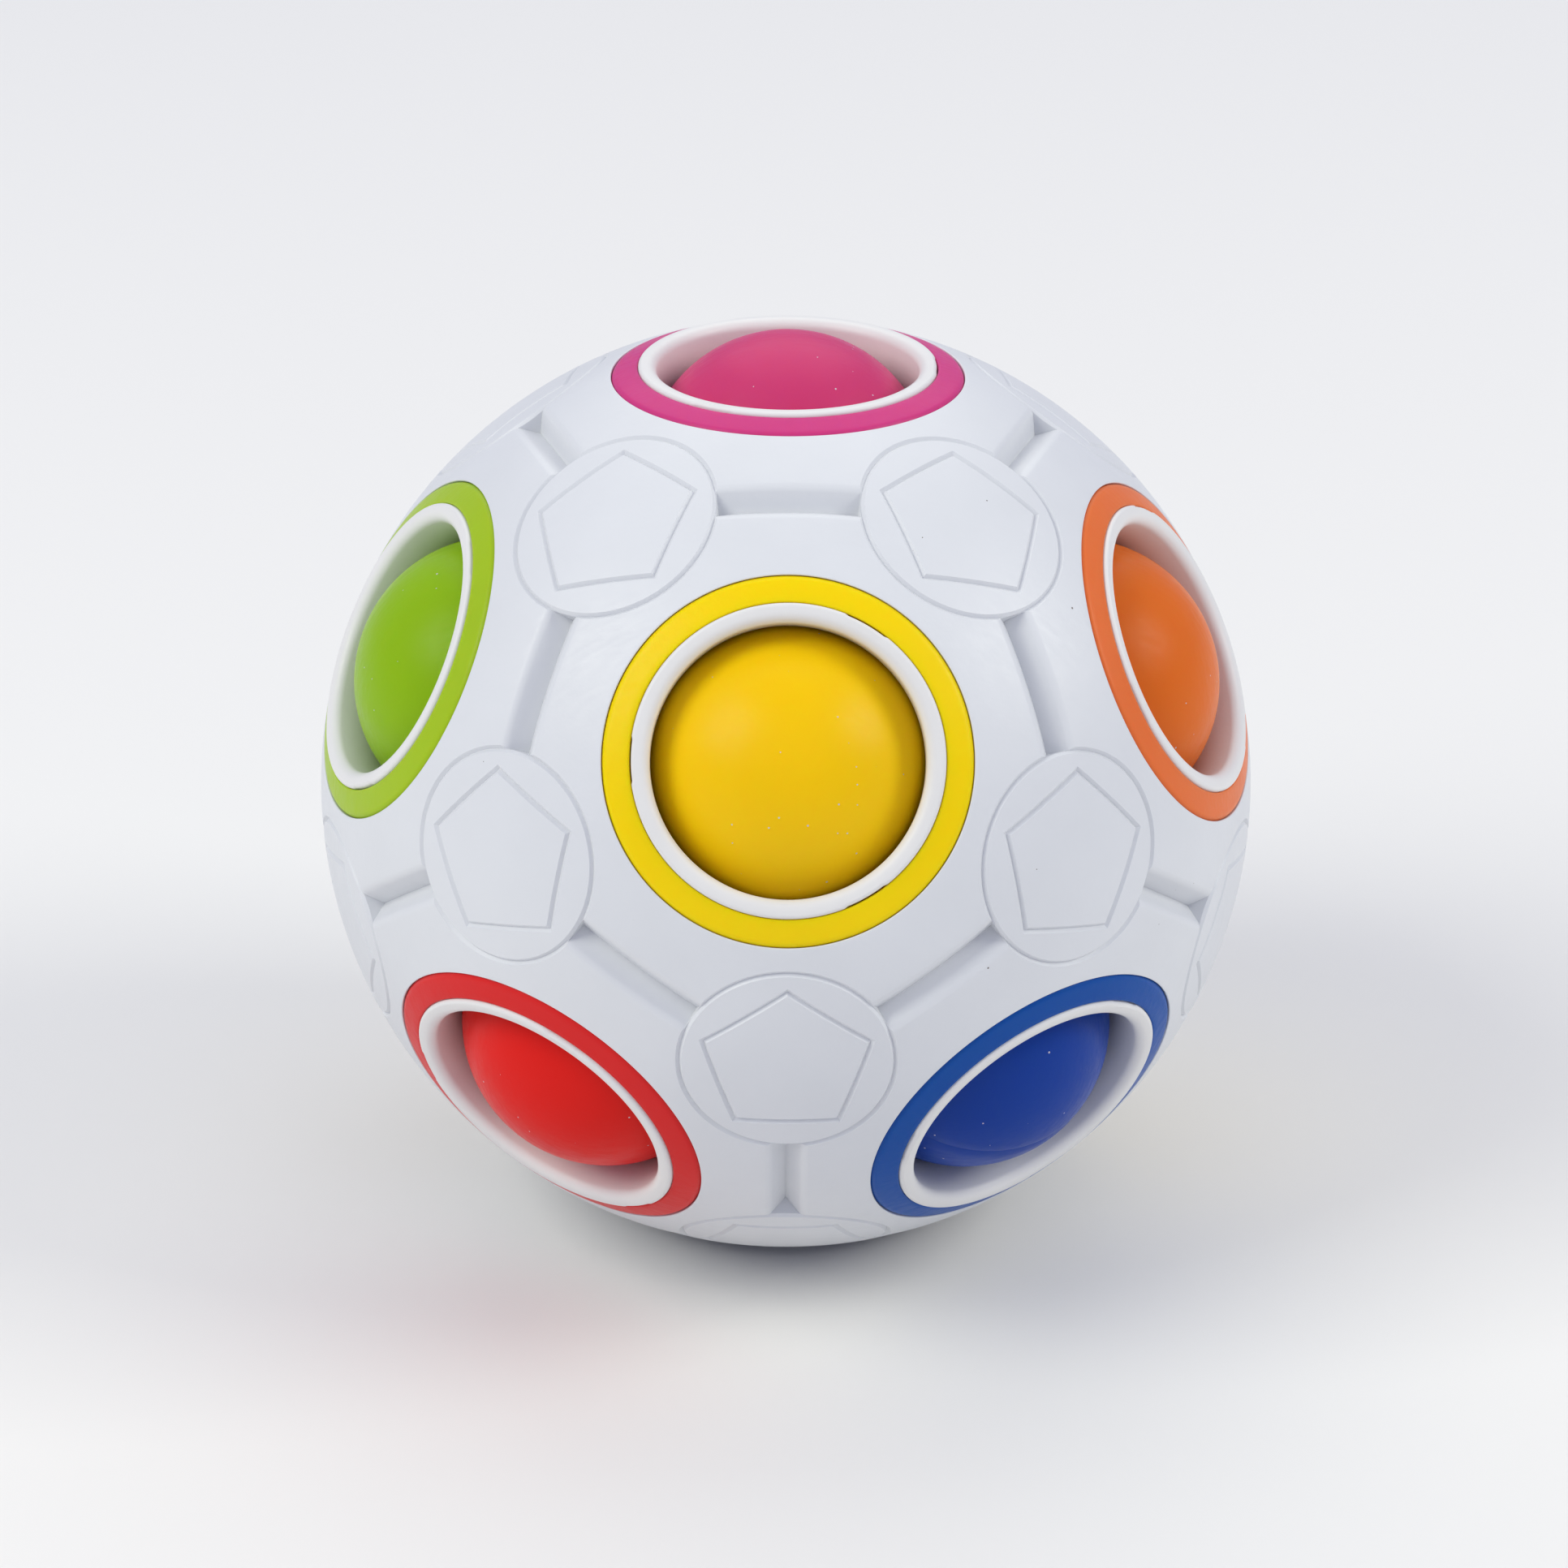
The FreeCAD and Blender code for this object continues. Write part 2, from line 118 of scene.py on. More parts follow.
class PuzzleColours(bpy.types.PropertyGroup):
    """Colours of the moulded plastics, as sRGB hex values."""
    shell: colour("Shell", "White ABS of the half shells", "#DADCDF")
    bezel: colour("Bezels", "White ABS of the bezels", "#E3E2E0")
    foam: colour("Core", "Foam of the core ball", "#D9D8D4")
    pink_ring: colour("Pink ring", "Ring on top", "#CB3C7F")
    pink_ball: colour("Pink ball", "Loose ball on top", "#C93B6F")
    yellow_ring: colour("Yellow ring", "Ring in front", "#F7D402")
    yellow_ball: colour("Yellow ball", "Loose ball in front", "#F3C602")
    orange_ring: colour("Orange ring", "Ring at the upper right", "#E37239")
    orange_ball: colour("Orange ball", "Loose ball at the upper right", "#DC6B1B")
    violet_ring: colour("Violet ring", "Ring at the back", "#6B3FA0")
    violet_ball: colour("Violet ball", "Loose ball at the back", "#5B3596")
    turquoise_ring: colour("Turquoise ring", "Ring at the back", "#1CA7A6")
    turquoise_ball: colour("Turquoise ball", "Loose ball at the back", "#169C9C")
    green_ring: colour("Green ring", "Ring at the upper left", "#A0BE21")
    green_ball: colour("Green ball", "Loose ball at the upper left", "#8AB40B")
    blue_ring: colour("Blue ring", "Ring at the lower right", "#0E4D9D")
    blue_ball: colour("Blue ball", "Loose ball at the lower right", "#0E3B94")
    cream_ring: colour("Cream ring", "Ring at the lower right back", "#EBDCAA")
    cream_ball: colour("Cream ball", "Loose ball at the lower right back", "#E6D49C")
    sky_ring: colour("Sky ring", "Ring at the back", "#6CB6E6")
    sky_ball: colour("Sky ball", "Loose ball at the back", "#5CAAE0")
    brown_ring: colour("Brown ring", "Ring at the lower left back", "#7C4A2C")
    brown_ball: colour("Brown ball", "Loose ball at the lower left back", "#6E4026")
    red_ring: colour("Red ring", "Ring at the lower left", "#D62626")
    red_ball: colour("Red ball", "Loose ball at the lower left", "#DB1A14")
    grey_ring: colour("Grey ring", "Ring of the empty hole underneath", "#8E9196")


class PuzzleStage(bpy.types.PropertyGroup):
    """Floor, light and camera."""
    floor: colour("Floor", "Plain pale floor", "#EAE9E6")
    distance: size("Camera distance", "From the middle of the shell", 372.5)
    azimuth: FloatProperty(name="Azimuth", description="Camera round the ball",
                           default=math.radians(-0.26), subtype="ANGLE")
    elevation: FloatProperty(name="Elevation", description="Camera above the horizon",
                             default=math.radians(24.06), subtype="ANGLE")
    roll: FloatProperty(name="Roll", description="Camera about its line of sight",
                        default=math.radians(0.28), subtype="ANGLE")
    lens: FloatProperty(name="Lens", description="Focal length for a 36 mm sensor",
                        default=113.07, unit="CAMERA")
    aside: size("Aside", "Camera and its aim, to the right of the ball's middle", -0.143)
    above: size("Above", "Camera and its aim, above the ball's middle", -0.148)


SETTINGS = {"shell": PuzzleShellSizes, "holes": PuzzleHoleSizes, "balls": PuzzleBallSizes,
            "colours": PuzzleColours, "stage": PuzzleStage}


def settings(name):
    """One of the add-on's groups of settings on the scene."""
    return getattr(bpy.context.scene, "puzzle_" + name)


# ------------------------------------------------------------------ places on the ball
def direction(azimuth, elevation):
    """Unit vector at an azimuth, from the front (-Y) round towards +X, and an elevation."""
    turn = math.radians(azimuth)
    rise = math.radians(elevation)
    flat = math.cos(rise)
    return Vector((math.sin(turn) * flat, -math.cos(turn) * flat, math.sin(rise)))


HOLES = {
    "pink": direction(0, 90),
    "yellow": direction(0, LATITUDE),
    "orange": direction(72, LATITUDE),
    "violet": direction(144, LATITUDE),
    "turquoise": direction(-144, LATITUDE),
    "green": direction(-72, LATITUDE),
    "blue": direction(36, -LATITUDE),
    "cream": direction(108, -LATITUDE),
    "sky": direction(180, -LATITUDE),
    "brown": direction(-108, -LATITUDE),
    "red": direction(-36, -LATITUDE),
    "grey": direction(0, -90),
}
EMPTY = "grey"
UP = Vector((0.0, 0.0, 1.0))
FRONT_POLE = HOLES["yellow"]
BACK_TURN = Matrix.Rotation(math.pi, 4, "X")
WELD_AXES = dict(HOLES, blue=direction(32, 51))
NEIGHBOUR_COSINE = 0.4


def neighbours(one, two):
    return one is not two and one.dot(two) > NEIGHBOUR_COSINE


def corner_discs():
    """Where three neighbouring holes meet."""
    axes = list(HOLES.values())
    found = []
    for first, one in enumerate(axes):
        for second in range(first + 1, len(axes)):
            for third in range(second + 1, len(axes)):
                two = axes[second]
                three = axes[third]
                if neighbours(one, two) and neighbours(two, three) and neighbours(one, three):
                    found.append((one + two + three).normalized())
    return found


def hole_pairs():
    """Every two neighbouring holes; a groove runs between them."""
    axes = list(HOLES.values())
    return [(one, two) for number, one in enumerate(axes) for two in axes[number + 1:]
            if neighbours(one, two)]


def aim(axis, side=None):
    """The turn that carries local Z onto axis and local X towards side."""
    if side is None:
        side = UP if abs(axis.dot(UP)) < 0.99 else FRONT_POLE
    across = (side - axis * side.dot(axis)).normalized()
    return Matrix((across, axis.cross(across), axis)).transposed().to_4x4()


def leg(long_side, short_side):
    """The second leg of a right triangle, such as a sphere's height at a given radius."""
    return math.sqrt(long_side * long_side - short_side * short_side)


# ------------------------------------------------------------------ modelling by hand
def nothing_selected():
    """Leave object mode's selection empty before a primitive is added."""
    bpy.ops.object.select_all(action="DESELECT")


def only(thing):
    """Select one object and make it active."""
    nothing_selected()
    thing.select_set(True)
    bpy.context.view_layer.objects.active = thing


def wire(name, corners, rounds=(), closed=True):
    """An outline of edges in the XZ plane, with chosen corners rounded by a vertex bevel.

    rounds holds (corner number, distance, segments).
    """
    nothing_selected()
    bpy.ops.mesh.primitive_circle_add(vertices=len(corners), radius=1.0)
    outline = bpy.context.object
    outline.name = name
    for vertex, (across, height) in zip(outline.data.vertices, corners):
        vertex.co = (across, 0.0, height)
    if not closed:
        ends = {0, len(corners) - 1}
        for edge in outline.data.edges:
            edge.select = set(edge.vertices) == ends
        bpy.ops.object.mode_set(mode="EDIT")
        bpy.ops.mesh.select_mode(type="EDGE")
        bpy.ops.mesh.delete(type="EDGE")
        bpy.ops.object.mode_set(mode="OBJECT")
    for number, distance, segments in rounds:
        place = Vector((corners[number][0], 0.0, corners[number][1]))
        bpy.ops.object.mode_set(mode="EDIT")
        bpy.ops.mesh.select_mode(type="VERT")
        bpy.ops.mesh.select_all(action="DESELECT")
        bpy.ops.object.mode_set(mode="OBJECT")
        for vertex in outline.data.vertices:
            vertex.select = (vertex.co - place).length < 1e-7
        bpy.ops.object.mode_set(mode="EDIT")
        bpy.ops.mesh.bevel(offset=distance, segments=segments, affect="VERTICES")
        bpy.ops.object.mode_set(mode="OBJECT")
    return outline


def spun(outline, steps):
    """Spin an outline once round Z, weld its ends and turn its faces outwards."""
    only(outline)
    bpy.ops.object.mode_set(mode="EDIT")
    bpy.ops.mesh.select_mode(type="VERT")
    bpy.ops.mesh.select_all(action="SELECT")
    bpy.ops.mesh.spin(steps=steps, angle=math.tau, center=(0, 0, 0), axis=(0, 0, 1))
    bpy.ops.mesh.select_all(action="SELECT")
    bpy.ops.mesh.remove_doubles(threshold=1e-7)
    bpy.ops.mesh.dissolve_degenerate(threshold=1e-8)
    bpy.ops.mesh.select_all(action="SELECT")
    bpy.ops.mesh.normals_make_consistent(inside=False)
    bpy.ops.object.mode_set(mode="OBJECT")
    return outline


def capped(outline, steps, angle):
    """Spin an outline through part of a turn and close both ends with a face."""
    only(outline)
    bpy.ops.object.mode_set(mode="EDIT")
    bpy.ops.mesh.select_mode(type="VERT")
    bpy.ops.mesh.select_all(action="SELECT")
    bpy.ops.mesh.spin(steps=steps, angle=angle, center=(0, 0, 0), axis=(0, 0, 1))
    for end in (0.0, angle):
        bpy.ops.mesh.select_all(action="DESELECT")
        bpy.ops.object.mode_set(mode="OBJECT")
        for vertex in outline.data.vertices:
            turn = math.atan2(vertex.co.y, vertex.co.x)
            vertex.select = abs(abs(turn) - end) < 1e-4
        bpy.ops.object.mode_set(mode="EDIT")
        bpy.ops.mesh.edge_face_add()
    bpy.ops.object.mode_set(mode="OBJECT")
    return recalculated(outline)


def recalculated(piece):
    """Turn all faces outwards."""
    only(piece)
    bpy.ops.object.mode_set(mode="EDIT")
    bpy.ops.mesh.select_all(action="SELECT")
    bpy.ops.mesh.normals_make_consistent(inside=False)
    bpy.ops.object.mode_set(mode="OBJECT")
    return piece


def copied(pattern, name, matrix):
    """A copy of a finished piece with a mesh of its own, moved by its mesh."""
    piece = pattern.copy()
    piece.data = pattern.data.copy()
    piece.name = name
    piece.data.name = name
    piece.data.transform(matrix)
    bpy.context.scene.collection.objects.link(piece)
    return piece


def joined(pieces, name):
    """Several objects as one."""
    nothing_selected()
    for piece in pieces:
        piece.select_set(True)
    bpy.context.view_layer.objects.active = pieces[0]
    bpy.ops.object.join()
    pieces[0].name = name
    return pieces[0]


def carved(piece, tool, operation="DIFFERENCE"):
    """Apply a boolean with a tool and delete the tool."""
    only(piece)
    cut = piece.modifiers.new("carve", "BOOLEAN")
    cut.operation = operation
    cut.solver = "MANIFOLD"
    cut.object = tool
    bpy.ops.object.modifier_apply(modifier=cut.name)
    bpy.data.objects.remove(tool)
    return piece


def smoothed(piece, degrees):
    """Smooth shading that keeps edges sharper than an angle."""
    only(piece)
    bpy.ops.object.shade_smooth_by_angle(angle=math.radians(degrees))
    return piece


def finished(piece, name, material, body, nodes):
    """Name a piece, give it its material, and let it ride for the CAD nodes it replaces."""
    piece.name = name
    piece.data.name = name
    piece.data.materials.clear()
    piece.data.materials.append(material)
    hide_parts(*nodes)
    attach(piece, body)
    return piece


# ------------------------------------------------------------------ materials
DUST = "#C9C6CC"
DIRT = "#6E6560"
DUST_SHARE = 0.25  # of the cells in which a speck can lie
DIRT_SHARE = 0.012
SPECK_RADIUS = 0.08 * MM
SPECK_CELLS = 1500.0  # per metre
GLOW = 0.5  # share of the light that goes into a coloured plastic
GLOW_REACH = (1.0, 0.5, 0.2)  # red goes in furthest
GLOW_DEPTH = 1.0 * MM


def linear(code):
    """An sRGB hex value as a linear colour with alpha."""
    parts = [int(code[start:start + 2], 16) / 255 for start in (1, 3, 5)]
    return tuple(part / 12.92 if part <= 0.04045 else ((part + 0.055) / 1.055) ** 2.4
                 for part in parts) + (1.0,)


def node(tree, kind, inputs=None, **fields):
    """Add a node, set its fields, and set or link its inputs."""
    made = tree.nodes.new(kind)
    for field, value in fields.items():
        setattr(made, field, value)
    for key, value in (inputs or {}).items():
        if isinstance(value, bpy.types.NodeSocket):
            tree.links.new(value, made.inputs[key])
        else:
            made.inputs[key].default_value = value
    return made


def new_material(name):
    """An empty node material with its output."""
    material = bpy.data.materials.new(name)
    material.use_nodes = True
    material.node_tree.nodes.clear()
    return material, material.node_tree


def specks(tree, place, tint, code, share):
    """Mix small round specks of dust or dirt over a colour, in a share of the cells."""
    grid = node(tree, "ShaderNodeTexVoronoi", {"Vector": place, "Scale": SPECK_CELLS})
    pick = node(tree, "ShaderNodeSeparateColor", {"Color": grid.outputs["Color"]})
    chosen = node(tree, "ShaderNodeMath", {0: pick.outputs["Red"], 1: share},
                  operation="LESS_THAN")
    # The specks differ in size, up to 0.16 mm across.
    reach = node(tree, "ShaderNodeMath", {
        0: pick.outputs["Green"], 1: SPECK_RADIUS * SPECK_CELLS}, operation="MULTIPLY")
    inside = node(tree, "ShaderNodeMath", {
        0: grid.outputs["Distance"], 1: reach.outputs["Value"]}, operation="LESS_THAN")
    mask = node(tree, "ShaderNodeMath", {
        0: chosen.outputs["Value"], 1: inside.outputs["Value"]}, operation="MULTIPLY")
    mixed = node(tree, "ShaderNodeMix", {
        "Factor": mask.outputs["Value"], "A": tint, "B": linear(code)}, data_type="RGBA")
    return mixed.outputs["Result"]


def moulded(name, code, roughness, specular=0.5, dust=None, share=0.0, depth=0.0):
    """Injection-moulded ABS, coloured right through.

    The steel of the mould leaves a faint orange peel, handling leaves fine scuffs that change
    the gloss, the colour drifts by a hair where the melt flowed, and a few specks stick to it.
    """
    material, tree = new_material(name)
    place = node(tree, "ShaderNodeTexCoord").outputs["Object"]
    flow = node(tree, "ShaderNodeTexNoise", {"Vector": place, "Scale": 120.0, "Detail": 3.0})
    drift = node(tree, "ShaderNodeMapRange", {
        "Value": flow.outputs["Fac"], "From Min": 0.3, "From Max": 0.7,
        "To Min": 0.98, "To Max": 1.015})
    tint = node(tree, "ShaderNodeMix", {
        "Factor": 1.0, "A": linear(code), "B": drift.outputs["Result"]},
        data_type="RGBA", blend_type="MULTIPLY").outputs["Result"]
    if dust:
        tint = specks(tree, place, tint, dust, share)
    # Scuffs are about 0.3 mm wide and several millimetres long.
    stretch = node(tree, "ShaderNodeMapping", {
        "Vector": place, "Rotation": (0.5, 0.3, 0.9), "Scale": (400.0, 3300.0, 900.0)})
    scuff = node(tree, "ShaderNodeTexNoise", {
        "Vector": stretch.outputs["Vector"], "Scale": 1.0, "Detail": 5.0, "Roughness": 0.65})
    worn = node(tree, "ShaderNodeMapRange", {
        "Value": scuff.outputs["Fac"], "From Min": 0.35, "From Max": 0.75,
        "To Min": roughness - 0.05, "To Max": roughness + 0.12})
    # Orange peel of a moulded face: cells of about half a millimetre, a few microns deep, on
    # a slow waviness of about five millimetres.
    peel = node(tree, "ShaderNodeTexNoise", {"Vector": place, "Scale": 1900.0, "Detail": 2.0})
    wave = node(tree, "ShaderNodeTexNoise", {"Vector": place, "Scale": 190.0, "Detail": 1.0})
    relief = node(tree, "ShaderNodeMath", {0: wave.outputs["Fac"], 1: peel.outputs["Fac"]},
                  operation="ADD")
    bump = node(tree, "ShaderNodeBump", {
        "Height": relief.outputs["Value"], "Strength": 0.4, "Distance": 0.03 * MM})
    shade = node(tree, "ShaderNodeBsdfPrincipled", {
        "Base Color": tint, "Roughness": worn.outputs["Result"], "IOR": 1.53,
        "Specular IOR Level": specular, "Normal": bump.outputs["Normal"]})
    if depth:
        # Light goes a little way into the plastic, so that shaded rims glow in a warmer tone.
        shade.inputs["Subsurface Weight"].default_value = GLOW
        shade.inputs["Subsurface Radius"].default_value = GLOW_REACH
        shade.inputs["Subsurface Scale"].default_value = depth
    node(tree, "ShaderNodeOutputMaterial", {"Surface": shade.outputs["BSDF"]})
    return material


def foam_material(code):
    """Closed-cell EVA foam, cut and ground to a ball, which leaves small open cells, with
    painted shade that darkens the colour in each cell's hollow.
    """
    material, tree = new_material("eva_foam")
    place = node(tree, "ShaderNodeTexCoord").outputs["Object"]
    cells = node(tree, "ShaderNodeTexVoronoi", {"Vector": place, "Scale": 1800.0})
    # Painted shade: the colour darkens to 0.82 towards the middle of each cell, where the bump
    # dips into a hollow.
    hollow = node(tree, "ShaderNodeMapRange", {
        "Value": cells.outputs["Distance"], "From Min": 0.0, "From Max": 0.5,
        "To Min": 0.82, "To Max": 1.0})
    tint = node(tree, "ShaderNodeMix", {
        "Factor": 1.0, "A": linear(code), "B": hollow.outputs["Result"]},
        data_type="RGBA", blend_type="MULTIPLY")
    bump = node(tree, "ShaderNodeBump", {
        "Height": cells.outputs["Distance"], "Strength": 0.6, "Distance": 0.1 * MM})
    shade = node(tree, "ShaderNodeBsdfPrincipled", {
        "Base Color": tint.outputs["Result"], "Roughness": 0.9,
        "Normal": bump.outputs["Normal"]})
    node(tree, "ShaderNodeOutputMaterial", {"Surface": shade.outputs["BSDF"]})
    return material


def painted_floor(code):
    """Smooth matt paint of the plain floor."""
    material, tree = new_material("matt_floor_paint")
    shade = node(tree, "ShaderNodeBsdfPrincipled", {
        "Base Color": linear(code), "Roughness": 0.9, "Specular IOR Level": 0.2})
    node(tree, "ShaderNodeOutputMaterial", {"Surface": shade.outputs["BSDF"]})
    return material


# ------------------------------------------------------------------ the half shells
FINE_BALL = 7  # subdivisions of the outer sphere, whose edges are then 0.5 to 0.7 mm long
INNER_BALL = 6
HOLE_STEPS = 192
CIRCLE_STEPS = 180
GROOVE_STEPS = 24
BELT_COSINE = 0.5  # corner discs nearer to the equator than this lie on the parting line
BELT_SLACK = 0.1  # the parting line's grooves lie less far behind the equator than this
BEYOND = 1.0 * MM  # how far tools stand out of the shell
BORE_REACH = 6.0 * MM  # how far the hole's tool goes down below the ring's ledge
FLANK = 0.97  # slope of the flank outside a hole's edge, as a share of the sphere's
TANGENT = 0.9  # tangent length of a hole's rounded edge, as a share of its radius
GOLDEN = (1 + math.sqrt(5)) / 2


def sphere(name, radius, subdivisions):
    nothing_selected()
    bpy.ops.mesh.primitive_ico_sphere_add(subdivisions=subdivisions, radius=radius)
    ball = bpy.context.object
    ball.name = name
    return ball


def parting_wedge(shell):
    """The front side of the zigzag parting surface, as a solid about the shell's centre."""
    across = (UP - FRONT_POLE * UP.dot(FRONT_POLE)).normalized()
    third = FRONT_POLE.cross(across)
    belt = [disc for disc in corner_discs() if abs(disc.dot(FRONT_POLE)) < BELT_COSINE]
    belt.sort(key=lambda disc: math.atan2(disc.dot(third), disc.dot(across)))
    far = shell.radius * 2
    nothing_selected()
    bpy.ops.mesh.primitive_circle_add(vertices=len(belt), radius=far, fill_type="TRIFAN")
    wedge = bpy.context.object
    wedge.name = "parting_wedge"
    rim = [vertex for vertex in wedge.data.vertices if vertex.co.length > far / 2]
    rim.sort(key=lambda vertex: math.atan2(vertex.co.y, vertex.co.x))
    for vertex, disc in zip(rim, belt):
        vertex.co = disc * far
    bpy.ops.object.mode_set(mode="EDIT")
    bpy.ops.mesh.select_mode(type="EDGE")
    bpy.ops.mesh.select_all(action="DESELECT")
    bpy.ops.mesh.select_non_manifold()
    bpy.ops.mesh.edge_face_add()
    bpy.ops.mesh.poke()
    bpy.ops.mesh.select_all(action="DESELECT")
    bpy.ops.object.mode_set(mode="OBJECT")
    wedge.data.vertices[-1].co = FRONT_POLE * (far * 2)
    recalculated(wedge)
    for disc in belt:
        ahead = disc.dot(FRONT_POLE) > 0
        shift = -shell.seam / 2 if ahead else shell.seam / 2
        edge = far * (shell.disc_radius + shift) / leg(shell.radius, shell.disc_radius)
        nothing_selected()
        bpy.ops.mesh.primitive_cone_add(vertices=CIRCLE_STEPS, radius1=0.0, radius2=edge,
                                        depth=far)
        cone = bpy.context.object
        cone.data.transform(aim(disc) @ Matrix.Translation((0, 0, far / 2)))
        carved(wedge, cone, "UNION" if ahead else "DIFFERENCE")
    return wedge


def hole_tool(shell, holes):
    """Stepped hole with a rounded edge."""
    mouth = holes.ring + holes.gap
    bore = holes.barrel + holes.gap
    top = leg(shell.radius, mouth)
    floor = ring_floor(shell, holes) - holes.gap
    far = shell.radius * 1.2
    slope = mouth / top
    spread = 3 * holes.hole_round
    bottom = floor - BORE_REACH
    # The flank beyond the edge lies just outside the sphere, which curves away from it.
    corners = [(0, bottom), (bore, bottom), (bore, floor), (mouth, floor),
               (mouth, top), (mouth + spread, top - spread * slope * FLANK),
               (mouth + spread, far), (0, far)]
    outline = wire("hole_tool", corners, [(4, holes.hole_round * TANGENT, 5)], closed=False)
    return spun(outline, HOLE_STEPS)


def ring_floor(shell, holes):
    """Height of the counterbore's ledge along a hole's axis."""
    return leg(shell.radius, holes.ring) - holes.ring_round - holes.ring_depth


def groove_tool(shell, angle):
    """V-groove with soft shoulders, spun about Z from the X axis."""
    half = shell.groove_width / 2
    edge = leg(shell.radius, half)
    reach = half + 2 * shell.groove_round
    slope = half / edge
    skin = edge - slope * (reach - half)
    far = shell.radius + BEYOND
    corners = [(shell.radius - shell.groove_depth, 0), (edge, half), (skin, reach),
               (far, reach), (far, -reach), (skin, -reach), (edge, -half)]
    outline = wire("groove_tool", corners,
                   [(1, shell.groove_round, 5), (6, shell.groove_round, 5)])
    return capped(outline, GROOVE_STEPS, angle)


def circle_tool(shell):
    """Fine V-line round a corner disc, square to the sphere."""
    sine = shell.disc_radius / shell.radius
    cosine = leg(1.0, sine)
    low = shell.radius - shell.line_depth
    high = shell.radius + shell.line_depth
    wide = shell.line_width
    corners = [(low * sine, low * cosine),
               (high * sine + wide * cosine, high * cosine - wide * sine),
               (high * sine - wide * cosine, high * cosine + wide * sine)]
    return spun(wire("circle_tool", corners), CIRCLE_STEPS)


PENTAGON_STEPS = 10


def pentagon_tool(shell):
    """Fine V-line along five great circles, one corner on the X axis."""
    corner_turn = math.asin(shell.pentagon_radius / shell.radius)
    offset = shell.line_width / math.cos(math.radians(36))
    loops = []
    for radius, shift in ((shell.radius - shell.line_depth, 0.0),
                          (shell.radius + shell.line_depth, offset),
                          (shell.radius + shell.line_depth, -offset)):
        nothing_selected()
        bpy.ops.mesh.primitive_circle_add(vertices=5, radius=1.0)
        loop = bpy.context.object
        tilt = corner_turn + shift / shell.radius
        for number, vertex in enumerate(loop.data.vertices):
            turn = math.radians(72 * number)
            vertex.co = (math.sin(tilt) * math.cos(turn), math.sin(tilt) * math.sin(turn),
                         math.cos(tilt))
        bpy.ops.object.mode_set(mode="EDIT")
        bpy.ops.mesh.select_all(action="SELECT")
        bpy.ops.mesh.subdivide(number_cuts=PENTAGON_STEPS)
        bpy.ops.object.mode_set(mode="OBJECT")
        for vertex in loop.data.vertices:
            vertex.co = vertex.co.normalized() * radius
        loops.append(loop)
    tool = joined(loops, "pentagon_tool")
    count = len(tool.data.vertices) // 3
    for first, second in ((0, 1), (1, 2), (2, 0)):
        bpy.ops.object.mode_set(mode="EDIT")
        bpy.ops.mesh.select_mode(type="VERT")
        bpy.ops.mesh.select_all(action="DESELECT")
        bpy.ops.object.mode_set(mode="OBJECT")
        for vertex in tool.data.vertices:
            vertex.select = vertex.index // count in (first, second)
        for edge in tool.data.edges:
            ends = {index // count for index in edge.vertices}
            edge.select = len(ends) == 1 and ends <= {first, second}
        bpy.ops.object.mode_set(mode="EDIT")
        bpy.ops.mesh.select_mode(type="EDGE")
        bpy.ops.mesh.bridge_edge_loops()
        bpy.ops.object.mode_set(mode="OBJECT")
    return recalculated(tool)


def half_shell(shell, holes):
    """The front half shell about the ball's centre: six holes, grooves, discs and lines."""
    discs = corner_discs()
    half = sphere("half_shell", shell.radius, FINE_BALL)
    carved(half, sphere("hollow", shell.radius - shell.wall, INNER_BALL))
    carved(half, parting_wedge(shell), "INTERSECT")
    tools = []
    hole = hole_tool(shell, holes)
    for axis in HOLES.values():
        if axis.dot(FRONT_POLE) > 0:
            tools.append(copied(hole, "hole", aim(axis)))
    circle = circle_tool(shell)
    pentagon = pentagon_tool(shell)
    for disc in discs:
        height = disc.dot(FRONT_POLE)
        if height > -BELT_COSINE:
            tools.append(copied(circle, "circle", aim(disc)))
        if height > 0:
            # A corner points at the front pole on the inner discs, away on the outer ones.
            lean = FRONT_POLE if height > BELT_COSINE else -FRONT_POLE
            tools.append(copied(pentagon, "pentagon", aim(disc, lean)))
    for pattern in (hole, circle, pentagon):
        bpy.data.objects.remove(pattern)
    carved(half, joined(tools, "lines_and_holes"))
    # Neighbouring corner discs lie one edge of a dodecahedron apart.
    between = 2 * math.atan(1 / GOLDEN ** 2)
    angle = between - 2 * math.asin(shell.disc_radius / shell.radius)
    groove = groove_tool(shell, angle)
    grooves = []
    for one, two in hole_pairs():
        middle = (one + two).normalized()
        if middle.dot(FRONT_POLE) > -BELT_SLACK:
            place = aim((one - two).normalized(), middle) @ Matrix.Rotation(angle / 2, 4, "Z")
            grooves.append(copied(groove, "groove", place))
    bpy.data.objects.remove(groove)
    carved(half, joined(grooves, "grooves"))
    return half


class PUZZLE_OT_shells(bpy.types.Operator):
    """Model the front half shell, and turn a copy of it over for the rear half"""
    bl_idname = "puzzle.shells"
    bl_label = "Half shells"

    def execute(self, context):
        shell = settings("shell")
        half = half_shell(shell, settings("holes"))
        material = moulded("moulded_white_abs", settings("colours").shell, 0.42,
                           specular=0.4, dust=DIRT, share=DIRT_SHARE)
        rear = copied(half, "rear_shell", Matrix.Translation(SCENE_CENTRE) @ BACK_TURN)
        half.data.transform(Matrix.Translation(SCENE_CENTRE))
        for piece, name, old in ((half, "front_shell", "shell_front"),
                                 (rear, "rear_shell", "shell_rear")):
            smoothed(piece, 25)
            finished(piece, name, material, "casing", [old])
        return {"FINISHED"}


